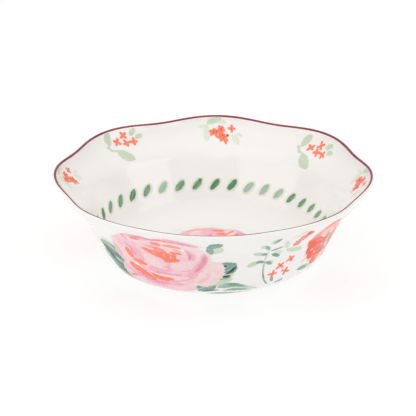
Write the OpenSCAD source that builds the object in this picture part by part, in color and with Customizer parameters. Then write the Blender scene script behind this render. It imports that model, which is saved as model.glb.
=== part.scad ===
// Porcelain serving bowl with an eight-lobed flared rim and painted transfers.
// Units are millimetres, +Z is up and the origin is the centre of the resting plane.
// Angles are measured about +Z from +X. The rim's lobes stand at 0, 45, 90 degrees and so on.

/* [Bowl] */
// Mean diameter of the rim, halfway between a lobe and the dip beside it
rim_d = 229; // [203:1:263]
// Mean height of the rim above the table
bowl_h = 70; // [64:1:84]
// How far a lobe stands out from the mean rim
lobe_out = 2; // [0:0.1:4]
// How far a lobe stands above the mean rim
lobe_up = 0.7; // [0:0.1:2]
// Height where the straight wall ends and the flared lip begins
neck_h = 45; // [40:1:50]
// Outside diameter at that height
neck_d = 189; // [180:1:194]
// Height where the rounded heel ends and the straight wall begins
heel_h = 19; // [16:1:24]
// Outside diameter at that height
heel_d = 164; // [154:1:170]

/* [Thickness] */
// Clay thickness at the floor
floor_t = 4.1; // [3:0.1:6]
// Clay thickness at the neck
wall_t = 3.3; // [2.6:0.1:4.5]
// Clay thickness at the rim
lip_t = 2.1; // [1.6:0.1:3]
// Thickness of the fired glaze
glaze_t = 0.25; // [0.15:0.05:0.4]
// Thickness of a painted transfer
paint_t = 0.2; // [0.15:0.05:0.3]

/* [Foot ring] */
// Outside diameter of the foot ring where it meets the heel
foot_d = 100; // [90:1:110]
// Depth of the recess inside the foot ring
foot_h = 2.8; // [2:0.1:4]
// Width of the unglazed edge that the bowl stands on
foot_w = 3.6; // [3:0.1:5]

/* [Decoration] */
// Width of the coloured line over the rim
rim_line_w = 2.6; // [2:0.1:4]
// Number of leaves in the band inside the bowl
band_leaves = 40; // [30:1:44]
// Radius of that band
band_r = 82.5; // [80:0.5:85]
// Length of one leaf in the band
band_leaf_l = 9.5; // [7:0.5:11]
// Width of the large pink flower outside
peony_w = 92; // [80:1:96]
// Width of the large coral flower outside
poppy_w = 62; // [54:1:66]
// Diameter of the flower on the floor
floor_flower_d = 104; // [80:1:104]

/* [Hidden] */

lobes = 8;                      // lobes round the rim
turns = 72;                     // facets round the bowl
rim_r = rim_d / 2;
foot_r = foot_d / 2;
heel = [heel_d / 2, heel_h];
neck = [neck_d / 2, neck_h];
lip = [rim_r - 0.6, bowl_h - lip_t / 2];
foot_z = foot_h;                // underside of the floor, where the foot ring meets it
heel_start = [foot_r + 0.4, foot_z];
wall_dir = (neck - heel) / norm(neck - heel);
lobe_start = 42;                // height where the lobes begin to show
foot_taper = 0.6;               // the foot ring narrows this much towards the table
paint_sink = 0.02;              // paint starts this far inside the glaze's outer skin
rim_line_steps = 3;             // strips across the rim line
rim_line_lean = 38;             // the line sits this far round the crest towards the inside
petal_sides = 6;                // corners of a brush mark

porcelain = [0.95, 0.94, 0.92];
glaze_white = [0.97, 0.965, 0.95];
burgundy = [0.52, 0.2, 0.27];
leaf_green = [0.33, 0.52, 0.42];
pale_green = [0.78, 0.84, 0.74];
pink = [0.95, 0.68, 0.75];
coral = [0.98, 0.5, 0.42];

// ---- profile of the bowl, as [radius, height] ----

function bezier(p, t) =
    p[0] * pow(1 - t, 3) + p[1] * 3 * t * pow(1 - t, 2) + p[2] * 3 * t * t * (1 - t) + p[3] * pow(t, 3);

// The heel sweeps from the foot ring up into the wall.
heel_curve = [heel_start, heel_start + [15, 0.9], heel - wall_dir * 10, heel];
// The lip leaves the wall, flares outwards and turns up again at the rim.
lip_curve = [neck, neck + wall_dir * 9, lip + [-4, -10.5], lip];

heel_steps = 6;
wall_steps = 2;
lip_steps = 5;
outer_path = concat(
    [for (i = [0 : heel_steps]) bezier(heel_curve, i / heel_steps)],
    [for (i = [1 : wall_steps - 1]) heel + (neck - heel) * i / wall_steps],
    [for (i = [0 : lip_steps]) bezier(lip_curve, i / lip_steps)]
);
outer_n = len(outer_path);

function unit(v) = v / norm(v);
function normal_left(p, i) =
    let (d = unit(p[min(i + 1, len(p) - 1)] - p[max(i - 1, 0)])) [-d[1], d[0]];
function clay_t(i) =
    let (h = outer_path[i][1])
    h < neck_h ? floor_t + (wall_t - floor_t) * h / neck_h
               : wall_t + (lip_t - wall_t) * (h - neck_h) / (bowl_h - neck_h);

// The inner face of the clay stands the local thickness inside the outer face.
inner_path = [for (i = [0 : outer_n - 1]) outer_path[i] + normal_left(outer_path, i) * clay_t(i)];
floor_z = inner_path[0][1];

// The rim is rounded over from the outer face to the inner face.
rim_out = outer_path[outer_n - 1];
rim_in = inner_path[outer_n - 1];
rim_mid = (rim_out + rim_in) / 2;
rim_steps = 4;
function rim_arc(i) =
    let (a = 180 * i / rim_steps, u = rim_out - rim_mid) rim_mid + u * cos(a) + [-u[1], u[0]] * sin(a);

// Clay section from the centre of the floor, out and up the inside, over the rim and down the outside.
clay_path = concat(
    [[18, floor_z], [35, floor_z]],
    inner_path,
    [for (i = [rim_steps - 1 : -1 : 1]) rim_arc(i)],
    [for (i = [outer_n - 1 : -1 : 0]) outer_path[i]]
);

// The same line moved outwards from the clay by d.
function moved_out(d) =
    [for (i = [0 : len(clay_path) - 1])
        let (n = normal_left(clay_path, i)) clay_path[i] + (i < 3 ? [0, 1] : n) * d];

// ---- lobes ----

function rise(h) =
    let (t = max(0, min(1, (h - lobe_start) / (bowl_h - lobe_start)))) t * t * (3 - 2 * t);
function wave(a) = cos(lobes * a) - 0.09 * cos(2 * lobes * a);
function lobed(p, a) =
    let (w = rise(p[1]), r = p[0] + lobe_out * w * wave(a))
    [r * cos(a), r * sin(a), p[1] + lobe_up * w * cos(lobes * a)];

// ---- solids of revolution with lobes ----

function ring_points(path) =
    [for (p = path) for (k = [0 : turns - 1]) lobed(p, 360 * k / turns)];
function band_faces(i, j) =
    [for (k = [0 : turns - 1])
        let (a = i * turns + k, b = i * turns + (k + 1) % turns, c = j * turns + (k + 1) % turns,
             d = j * turns + k)
        each [[a, b, c], [a, c, d]]];
function fan_faces(i, pole, up) =
    [for (k = [0 : turns - 1])
        let (a = i * turns + k, b = i * turns + (k + 1) % turns)
        up ? [b, a, pole] : [a, b, pole]];

// ---- painted transfers ----
// A point on the glaze is found from the angle a and the length s along the section:
// inside, s runs out from the centre of the floor; outside, it runs up from the foot ring.

inner_skin = concat([[0, floor_z]], [for (i = [0 : outer_n + 1]) moved_out(glaze_t)[i]]);
outer_skin = [for (i = [0 : outer_n - 1]) moved_out(glaze_t)[len(clay_path) - 1 - i]];

function run_length(p, i) = i == 0 ? 0 : run_length(p, i - 1) + norm(p[i] - p[i - 1]);
function table(p, axis) = [for (i = [0 : len(p) - 1]) [run_length(p, i), p[i][axis]]];
function normals(p, axis, turn) =
    [for (i = [0 : len(p) - 1]) [run_length(p, i), normal_left(p, i)[axis] * turn]];

inside = [table(inner_skin, 0), table(inner_skin, 1), normals(inner_skin, 0, 1), normals(inner_skin, 1, 1)];
outside = [table(outer_skin, 0), table(outer_skin, 1), normals(outer_skin, 0, -1), normals(outer_skin, 1, -1)];

function skin_r(side, s) = lookup(s, side[0]);
function on_skin(side, a, s, d) =
    lobed([lookup(s, side[0]) + d * lookup(s, side[2]), lookup(s, side[1]) + d * lookup(s, side[3])], a);

// A point x millimetres round the bowl and y millimetres up the skin from the place [a, s].
function shifted(side, place, x, y, d) =
    let (s = place[1] + y) on_skin(side, place[0] + x / skin_r(side, max(s, 20)) * 180 / PI, s, d);

function turned(x, y, lean) = [x * cos(lean) - y * sin(lean), x * sin(lean) + y * cos(lean)];

// One thin brush mark whose outline is a list of [x, y] round the point at, laid on the skin.
module mark(side, place, at, outline) {
    n = len(outline);
    flip = side == inside ? 1 : -1;
    function layer(d) = concat(
        [for (p = outline) shifted(side, place, at[0] + p[0], at[1] + p[1], d)],
        [shifted(side, place, at[0], at[1], d)]
    );
    low = layer(-paint_sink);
    high = layer(paint_t);
    faces = [for (k = [0 : n - 1])
        let (j = (k + 1) % n)
        each [[k, j, n], [n + 1 + j, n + 1 + k, 2 * n + 1], [j, k, n + 1 + k], [j, n + 1 + k, n + 1 + j]]];
    polyhedron(concat(low, high), flip > 0 ? faces : [for (f = faces) [f[2], f[1], f[0]]]);
}

// Outline of a leaf, pointed at both ends, its length along the direction lean.
function leaf_outline(l, w, lean) =
    [for (k = [0 : petal_sides - 1])
        let (t = 360 * k / petal_sides, s = sin(t)) turned(l / 2 * cos(t), w / 2 * s * sqrt(abs(s)), lean)];

// Outline of a petal, broad at its far end.
function petal_outline(l, w, lean) =
    [for (k = [0 : petal_sides - 1])
        let (t = 360 * (k + 0.5) / petal_sides, f = 1 + 0.18 * cos(t))
        turned(l / 2 * cos(t), w / 2 * f * sin(t), lean)];

module leaf(side, place, at, l, w, lean) mark(side, place, at, leaf_outline(l, w, lean));

// A blossom of count petals round the point at.
module blossom(side, place, at, r, count, lean) {
    petal_l = r * 0.9;
    petal_w = 2 * PI * r * 0.5 / count * 0.86;
    for (k = [0 : count - 1]) {
        dir = lean + 360 * k / count;
        mark(side, place, at + turned(r * 0.55, 0, dir), petal_outline(petal_l, petal_w, dir));
    }
}

// A full flower: rings of petals in an oval of width w and height h.
module full_flower(side, place, w, h, ring_counts) {
    rings = len(ring_counts);
    step = 1 / (rings + 0.4);
    for (i = [0 : rings - 1]) {
        count = ring_counts[i];
        mid = (i + 0.9) * step;
        for (k = [0 : count - 1]) {
            dir = 360 * (k + 0.5 * (i % 2)) / count;
            x = w / 2 * mid * cos(dir);
            y = h / 2 * mid * sin(dir);
            heading = atan2(y * w / h, x * h / w);
            reach = norm([w / 2 * cos(dir), h / 2 * sin(dir)]);
            span = norm([w / 2 * sin(dir), h / 2 * cos(dir)]);
            mark(side, place, [x, y],
                 petal_outline(reach * step * 0.92, 2 * PI * mid * span / count * 0.84, heading));
        }
    }
    mark(side, place, [0, 0], petal_outline(w * step * 0.34, h * step * 0.34, 0));
}

// ---- where the decoration sits ----

sprig_s = run_length(inner_skin, outer_n + 2) - 12;     // rim sprigs, along the inner skin
wall_s = run_length(outer_skin, outer_n - 1) * 0.56;    // outer flowers, along the outer skin
peony_angle = -111;
poppy_angle = -27;
fern_angles = [-64, 4, 116, 184];
sprig_angles = [6, 45, 89.5, 129.5, 173, 219, 270, 321];
band_start = 91;        // angle of the first leaf
band_crowding = 5;      // how far, in degrees, the leaves drift from even spacing
band_lean = 130;        // lean of each leaf, from the ring's own direction
band_s = lookup(band_r, [for (p = inside[0]) [p[1], p[0]]]);

// ---- sub-parts ----

// Fired clay, with a foot ring turned under the floor.
module bowl_body() {
    n = len(clay_path);
    points = concat(ring_points(clay_path), [[0, 0, floor_z], [0, 0, foot_z]]);
    top = n * turns;
    faces = concat(
        fan_faces(0, top, true),
        [for (i = [0 : n - 2]) each band_faces(i, i + 1)],
        fan_faces(n - 1, top + 1, false)
    );
    color(porcelain) union() {
        polyhedron(points, faces);
        rotate_extrude($fn = 96)
            polygon([
                [foot_r - foot_taper - foot_w, 0],
                [foot_r - foot_taper, 0],
                [foot_r, foot_z],
                [foot_r - foot_w - 2 * foot_taper, foot_z]
            ]);
    }
}

// Glass over the clay, inside and out, with a disc of it in the recess. The foot ring stays dry.
module glaze_coat() {
    outer = moved_out(glaze_t);
    n = len(clay_path);
    points = concat(
        ring_points(clay_path), ring_points(outer),
        [[0, 0, floor_z], [0, 0, floor_z + glaze_t]]
    );
    pole = 2 * n * turns;
    faces = concat(
        fan_faces(0, pole, false),
        [for (i = [0 : n - 2]) each band_faces(i + 1, i)],
        fan_faces(n, pole + 1, true),
        [for (i = [0 : n - 2]) each band_faces(n + i, n + i + 1)],
        band_faces(2 * n - 1, n - 1)
    );
    color(glaze_white, 0.6) {
        polyhedron(points, faces);
        translate([0, 0, foot_z - glaze_t])
            cylinder(h = glaze_t, r = foot_r - foot_w - 2 * foot_taper - 0.5, $fn = 96);
    }
}

// Coloured line over the crest of the rim.
module rim_line() {
    r = lip_t / 2 + glaze_t;
    half = rim_line_w / 2 / r * 180 / PI;
    u = unit(rim_out - rim_mid);
    function crest(d) =
        [for (i = [0 : rim_line_steps])
            let (a = 90 + rim_line_lean + half - 2 * half * i / rim_line_steps)
            rim_mid + (u * cos(a) + [-u[1], u[0]] * sin(a)) * (r + d)];
    low = crest(-paint_sink);
    high = crest(paint_t);
    m = rim_line_steps + 1;
    loop = concat(high, [for (i = [m - 1 : -1 : 0]) low[i]]);
    faces = [for (i = [0 : 2 * m - 1]) each band_faces((i + 1) % (2 * m), i)];
    color(burgundy) polyhedron(ring_points(loop), faces);
}

// Ring of leaning leaves round the inside, set closer together towards one side and wider towards the other.
module leaf_band_decal() color(leaf_green)
    for (k = [0 : band_leaves - 1]) {
        turn = 360 * k / band_leaves;
        angle = band_start + turn + band_crowding * (1 - cos(turn));
        leaf(inside, [angle, band_s], [0, 0], band_leaf_l, band_leaf_l * 0.48, band_lean);
    }

// Full flower on the floor.
module floor_peony_decal() {
    disc = floor_flower_d / 2;
    ring_counts = [5, 9, 14];
    step = disc / (len(ring_counts) + 0.2);
    for (i = [0 : len(ring_counts) - 1])
        for (k = [0 : ring_counts[i] - 1]) {
            a = 360 * (k + 0.5 * (i % 2)) / ring_counts[i];
            r = (i + 0.7) * step;
            color(pink) flat_petal(r, a, step * 0.92, 2 * PI * r / ring_counts[i] * 0.84);
        }
}

// A petal on the floor, at the radius r and angle a.
module flat_petal(r, a, l, w) {
    centre = turned(r, 0, a);
    translate([centre[0], centre[1], floor_z + glaze_t - paint_sink])
        linear_extrude(height = paint_t + paint_sink)
            polygon(petal_outline(l, w, a));
}

// Sprig under the rim with one close cluster of five-petalled blossoms and leaves round it.
module cluster_sprig(a) {
    place = [a, sprig_s];
    color(coral) {
        blossom(inside, place, [3.6, 1.6], 4, 5, 20);
        blossom(inside, place, [-4.4, -3], 4.4, 5, 50);
        blossom(inside, place, [-10, 5.4], 3.2, 5, 80);
    }
    color(pale_green) {
        leaf(inside, place, [3.6, 8.6], 8.5, 3.4, 165);
        leaf(inside, place, [10.2, -1.6], 9, 3.4, 100);
        leaf(inside, place, [-13.4, -4.2], 7.5, 3, 50);
        leaf(inside, place, [-5.6, -9.6], 4, 2.4, 60);
    }
}

// Sprig under the rim with four loose blossoms, a pair of large leaves and two small ones.
module loose_sprig(a) {
    place = [a, sprig_s];
    color(coral) {
        blossom(inside, place, [6, 0.4], 3.2, 4, 10);
        blossom(inside, place, [-1.2, 5.2], 3.2, 4, 40);
        blossom(inside, place, [-1, -3], 3.2, 4, 25);
        blossom(inside, place, [-8, -2], 3.2, 4, 55);
    }
    color(pale_green) {
        leaf(inside, place, [12.4, 5], 9, 4.6, 110);
        leaf(inside, place, [5.4, -9], 12, 5.4, 45);
        leaf(inside, place, [-8.6, 5], 6, 2.6, 140);
        leaf(inside, place, [-14.6, 2.2], 6, 2.6, 165);
    }
}

module rim_sprig(number) {
    a = sprig_angles[number - 1];
    if (number % 2 == 1) cluster_sprig(a);
    else loose_sprig(a);
}

// Large pink flower outside, with leaves at both lower corners.
module outer_peony(number) {
    place = [peony_angle + 180 * (number - 1), wall_s];
    h = peony_w * 0.74;
    color(pink) full_flower(outside, place, peony_w, h, [5, 9, 12]);
    color(leaf_green) {
        leaf(outside, place, [-peony_w * 0.54, -h * 0.44], 20, 7, 215);
        leaf(outside, place, [peony_w * 0.48, -h * 0.5], 20, 7, -25);
        leaf(outside, place, [peony_w * 0.6, -h * 0.26], 16, 6, 15);
        leaf(outside, place, [peony_w * 0.57, h * 0.12], 12, 5, 65);
    }
}

// Large coral flower outside, with leaves below it.
module outer_poppy(number) {
    place = [poppy_angle + 180 * (number - 1), wall_s + 4];
    h = poppy_w * 0.9;
    color(coral) full_flower(outside, place, poppy_w, h, [5, 9]);
    color(leaf_green) {
        leaf(outside, place, [-poppy_w * 0.36, -h * 0.52], 15, 6, 200);
        leaf(outside, place, [poppy_w * 0.36, -h * 0.52], 15, 6, -20);
        leaf(outside, place, [-poppy_w * 0.54, h * 0.3], 12, 5, 160);
    }
}

// Fern outside: pairs of leaflets, and beside every other fern two small coral blossoms.
module outer_fern(number) {
    place = [fern_angles[number - 1], wall_s - 2];
    pairs = 5;
    pitch = 6.4;
    color(leaf_green) {
        for (k = [0 : pairs - 1]) {
            y = pitch * (k - 1.6);
            reach = 7.6 - 0.9 * k;
            leaf(outside, place, [-reach * 0.62, y], reach, 2.6, 150);
            leaf(outside, place, [reach * 0.62, y], reach, 2.6, 30);
        }
        leaf(outside, place, [0, pitch * (pairs - 1.2)], 7, 2.6, 90);
    }
    if (number % 2 == 1) color(coral) {
        blossom(outside, place, [13.5, -11], 3.4, 4, 20);
        blossom(outside, place, [14.5, 3], 3.4, 4, 50);
    }
}

bowl_body();
glaze_coat();
rim_line();
leaf_band_decal();
floor_peony_decal();
for (i = [1 : 8])
    rim_sprig(i);
for (i = [1 : 2])
    outer_peony(i);
for (i = [1 : 2])
    outer_poppy(i);
for (i = [1 : 4])
    outer_fern(i);
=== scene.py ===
"""The looks of a porcelain serving bowl: clay, glaze, an enamel rim line and painted flower transfers.

Lengths are millimetres of the stored design until a mesh is made, where MM turns them into metres.
Angles are degrees about +Z from +X, as in the frame.
"""
import math

import bpy
import numpy as np
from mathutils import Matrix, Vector


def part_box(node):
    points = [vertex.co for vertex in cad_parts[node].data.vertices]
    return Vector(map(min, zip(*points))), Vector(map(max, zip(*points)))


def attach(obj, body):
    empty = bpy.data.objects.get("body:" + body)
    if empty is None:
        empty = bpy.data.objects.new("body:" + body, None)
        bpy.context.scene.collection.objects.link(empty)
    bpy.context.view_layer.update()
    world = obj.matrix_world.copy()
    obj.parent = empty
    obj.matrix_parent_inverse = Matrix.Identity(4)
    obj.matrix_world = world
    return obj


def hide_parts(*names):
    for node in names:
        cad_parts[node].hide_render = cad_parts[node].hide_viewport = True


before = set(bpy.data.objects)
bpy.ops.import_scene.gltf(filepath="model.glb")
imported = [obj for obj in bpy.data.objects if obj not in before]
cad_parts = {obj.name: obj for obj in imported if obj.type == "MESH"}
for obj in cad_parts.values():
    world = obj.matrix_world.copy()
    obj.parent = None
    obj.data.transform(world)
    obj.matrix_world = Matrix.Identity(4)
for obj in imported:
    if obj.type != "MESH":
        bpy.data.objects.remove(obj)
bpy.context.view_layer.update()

# ---- sizes, worked out from the packed clay body ----

clay_low, clay_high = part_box("bowl_body")
DESIGN_CREST = 115.8                       # radius of a lobe's crest at the stored size
MM = clay_high[0] / DESIGN_CREST           # metres in one millimetre of the design

RIM_R = 114.5                              # mean radius of the rim
BOWL_H = 70.0                              # mean height of the rim
NECK = np.array([94.5, 45.0])              # where the straight wall ends, as radius and height
HEEL = np.array([82.0, 19.0])              # where the rounded heel ends
LOBES = 8
LOBE_OUT = 2.0
LOBE_UP = 0.7
LOBE_START = 42.0                          # height where the lobes begin to show
FLOOR_T = 4.1                              # clay thickness at the floor, the neck and the rim
WALL_T = 3.3
LIP_T = 2.1
GLAZE_T = 0.25
FOOT_R = 50.0
FOOT_H = 2.8
FOOT_W = 3.6
FOOT_TAPER = 0.6
DRY_EDGE = 0.9                             # height of the bare clay edge that the bowl stands on

ROUND = 384                                # points round the bowl
FINE_STEP = 0.26                           # spacing of the points in a small painted patch
WIDE_STEP = 0.36                           # and in a large one
PAINT_LIFT = 0.02                          # a patch floats this far over the glaze at its bare edge
PAINT_T = 0.05                             # and this much more under a full brush mark

# ---- profile of the bowl ----


def bezier(points, count):
    """Points along a cubic curve, both ends included."""
    t = np.linspace(0, 1, count + 1)[:, None]
    a, b, c, d = (np.asarray(p, float) for p in points)
    return a * (1 - t) ** 3 + 3 * b * t * (1 - t) ** 2 + 3 * c * t * t * (1 - t) + d * t**3


def straight(a, b, count):
    """Points along a line, both ends included."""
    t = np.linspace(0, 1, count + 1)[:, None]
    return np.asarray(a, float) * (1 - t) + np.asarray(b, float) * t


def left_normals(path):
    """The unit normal on the left of a path at each of its points."""
    run = np.gradient(path, axis=0)
    run /= np.linalg.norm(run, axis=1, keepdims=True)
    return np.stack([-run[:, 1], run[:, 0]], axis=1)


def run_lengths(path):
    """The length along a path up to each of its points."""
    return np.concatenate([[0], np.cumsum(np.linalg.norm(np.diff(path, axis=0), axis=1))])


WALL_DIR = (NECK - HEEL) / np.linalg.norm(NECK - HEEL)
LIP_END = np.array([RIM_R - 0.6, BOWL_H - LIP_T / 2])
HEEL_START = np.array([FOOT_R + 0.4, FOOT_H])

outer = np.concatenate([
    bezier([HEEL_START, HEEL_START + [15, 0.9], HEEL - WALL_DIR * 10, HEEL], 26),
    straight(HEEL, NECK, 16)[1:],
    bezier([NECK, NECK + WALL_DIR * 9, LIP_END + [-4, -10.5], LIP_END], 28)[1:],
])
thickness = np.interp(outer[:, 1], [0, NECK[1], BOWL_H], [FLOOR_T, WALL_T, LIP_T])
inner = outer + left_normals(outer) * thickness[:, None]
FLOOR_Z = inner[0, 1]

RIM_MID = (outer[-1] + inner[-1]) / 2
RIM_U = outer[-1] - RIM_MID
RIM_U = RIM_U / np.linalg.norm(RIM_U)
RIM_V = np.array([-RIM_U[1], RIM_U[0]])


def crest(radius, degrees):
    """Points over the rounded crest of the rim: 0 is its outside, 90 its top and 180 its inside."""
    a = np.radians(degrees)[:, None]
    return RIM_MID + (RIM_U * np.cos(a) + RIM_V * np.sin(a)) * radius


inside_clay = np.concatenate([straight([0, FLOOR_Z], inner[0], 14)[:-1], inner])
over_clay = crest(LIP_T / 2, np.linspace(180, 0, 15)[1:-1])
skin_clay = np.concatenate([inside_clay, over_clay, outer[::-1]])
skin_glaze = skin_clay + left_normals(skin_clay) * GLAZE_T

# ---- lobes ----


def lobed(r, z, a):
    """The point at radius r, height z and angle a, once the rim's lobes have moved it."""
    t = np.clip((z - LOBE_START) / (BOWL_H - LOBE_START), 0, 1)
    rise = t * t * (3 - 2 * t)
    turn = np.radians(a)
    wave = np.cos(LOBES * turn) - 0.09 * np.cos(2 * LOBES * turn)
    r = r + LOBE_OUT * rise * wave
    z = z + LOBE_UP * rise * np.cos(LOBES * turn)
    return np.stack([r * np.cos(turn), r * np.sin(turn), z], axis=-1)


# ---- meshes ----


def mesh_object(name, points, quads, triangles=None):
    """A smooth-shaded mesh object from points in millimetres."""
    corners = quads.reshape(-1)
    totals = np.full(len(quads), 4)
    if triangles is not None and len(triangles):
        corners = np.concatenate([corners, triangles.reshape(-1)])
        totals = np.concatenate([totals, np.full(len(triangles), 3)])
    mesh = bpy.data.meshes.new(name)
    mesh.vertices.add(len(points))
    mesh.vertices.foreach_set("co", (points * MM).astype(np.float32).reshape(-1))
    mesh.loops.add(len(corners))
    mesh.loops.foreach_set("vertex_index", corners.astype(np.int32))
    mesh.polygons.add(len(totals))
    starts = np.concatenate([[0], np.cumsum(totals)[:-1]])
    mesh.polygons.foreach_set("loop_start", starts.astype(np.int32))
    mesh.polygons.foreach_set("loop_total", totals.astype(np.int32))
    mesh.polygons.foreach_set("use_smooth", np.ones(len(totals), bool))
    mesh.update(calc_edges=True)
    mesh.validate()
    piece = bpy.data.objects.new(name, mesh)
    bpy.context.scene.collection.objects.link(piece)
    return piece


def revolved(path, first=0):
    """Points, quads and pole triangles of a path that starts and ends on the axis, turned round it."""
    body = path[1:-1]
    angles = np.arange(ROUND) * 360 / ROUND
    points = lobed(body[:, None, 0], np.repeat(body[:, 1:2], ROUND, 1), angles[None, :]).reshape(-1, 3)
    rows = len(body)
    k = np.arange(ROUND)
    nxt = (k + 1) % ROUND
    i = np.arange(rows - 1)[:, None] * ROUND
    quads = np.stack([i + k, i + ROUND + k, i + ROUND + nxt, i + nxt], axis=-1).reshape(-1, 4)
    poles = np.array([[0, 0, path[0, 1]], [0, 0, path[-1, 1]]])
    top = rows * ROUND
    start = np.stack([np.full(ROUND, top), k, nxt], axis=-1)
    last = (rows - 1) * ROUND
    end = np.stack([np.full(ROUND, top + 1), last + nxt, last + k], axis=-1)
    points = np.concatenate([points, poles])
    return points, quads + first, np.concatenate([start, end]) + first


def turned_piece(name, paths):
    """One object made of closed shells, each a path from axis to axis turned round."""
    points, quads, triangles = [], [], []
    count = 0
    for path in paths:
        p, q, t = revolved(path, count)
        points.append(p)
        quads.append(q)
        triangles.append(t)
        count += len(p)
    return mesh_object(name, np.concatenate(points), np.concatenate(quads), np.concatenate(triangles))


# ---- the skin that the paint lies on ----


class Skin:
    """The glaze's surface, as a function of the angle and of the length s along its section."""

    def __init__(self, path, turn):
        self.path = path
        self.normal = left_normals(path) * turn
        self.s = run_lengths(path)
        self.length = self.s[-1]
        self.outward = turn

    def radius(self, s):
        return np.interp(s, self.s, self.path[:, 0])

    def at(self, a, s, d):
        r = np.interp(s, self.s, self.path[:, 0]) + d * np.interp(s, self.s, self.normal[:, 0])
        z = np.interp(s, self.s, self.path[:, 1]) + d * np.interp(s, self.s, self.normal[:, 1])
        return lobed(r, z, a)


inside = Skin(skin_glaze[: len(inside_clay)], 1)
outside = Skin(skin_glaze[len(inside_clay) + len(over_clay):][::-1], -1)


# ---- seeded noise ----


def lattice(ix, iy, seed):
    """A repeatable random number from 0 to 1 at each whole-numbered place."""
    h = (ix.astype(np.int64) * 374761393 + iy.astype(np.int64) * 668265263 + seed * 974634777) & 0xFFFFFFFF
    h = ((h ^ (h >> 13)) * 1274126177) & 0xFFFFFFFF
    return ((h ^ (h >> 16)) & 0xFFFFFF) / 0xFFFFFF


def noise(x, y, seed=0):
    """Smooth noise from 0 to 1 with features one unit across."""
    ix, iy = np.floor(x), np.floor(y)
    fx, fy = x - ix, y - iy
    fx, fy = fx * fx * (3 - 2 * fx), fy * fy * (3 - 2 * fy)
    low = lattice(ix, iy, seed) * (1 - fx) + lattice(ix + 1, iy, seed) * fx
    high = lattice(ix, iy + 1, seed) * (1 - fx) + lattice(ix + 1, iy + 1, seed) * fx
    return low * (1 - fy) + high * fy


def step_up(low, high, x):
    t = np.clip((x - low) / (high - low), 0, 1)
    return t * t * (3 - 2 * t)


def from_srgb(*levels):
    """A linear colour from 0-255 display levels."""
    c = np.array(levels, float) / 255
    return np.where(c <= 0.04045, c / 12.92, ((c + 0.055) / 1.055) ** 2.4)


# ---- enamel colours ----

BLUSH = from_srgb(245, 218, 217)
SHELL = from_srgb(246, 205, 211)
PINK = from_srgb(243, 176, 194)
ROSE = from_srgb(229, 143, 169)
CORAL = from_srgb(252, 132, 102)
DEEP_CORAL = from_srgb(238, 84, 58)
VERMILION = from_srgb(250, 98, 58)
DEEP_VERMILION = from_srgb(244, 78, 36)
PALE_CORAL = from_srgb(251, 170, 154)
SAGE = from_srgb(198, 215, 188)
PALE_SAGE = from_srgb(219, 228, 202)
TEAL = from_srgb(122, 162, 148)
DEEP_TEAL = from_srgb(88, 124, 118)
BAND_DARK = from_srgb(84, 136, 106)
BAND_MIDDLE = from_srgb(112, 156, 126)
BAND_LIGHT = from_srgb(156, 188, 174)
INK = from_srgb(50, 50, 54)
WINE = from_srgb(160, 66, 82)
DARK_WINE = from_srgb(126, 42, 58)

# ---- a brush ----


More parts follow.
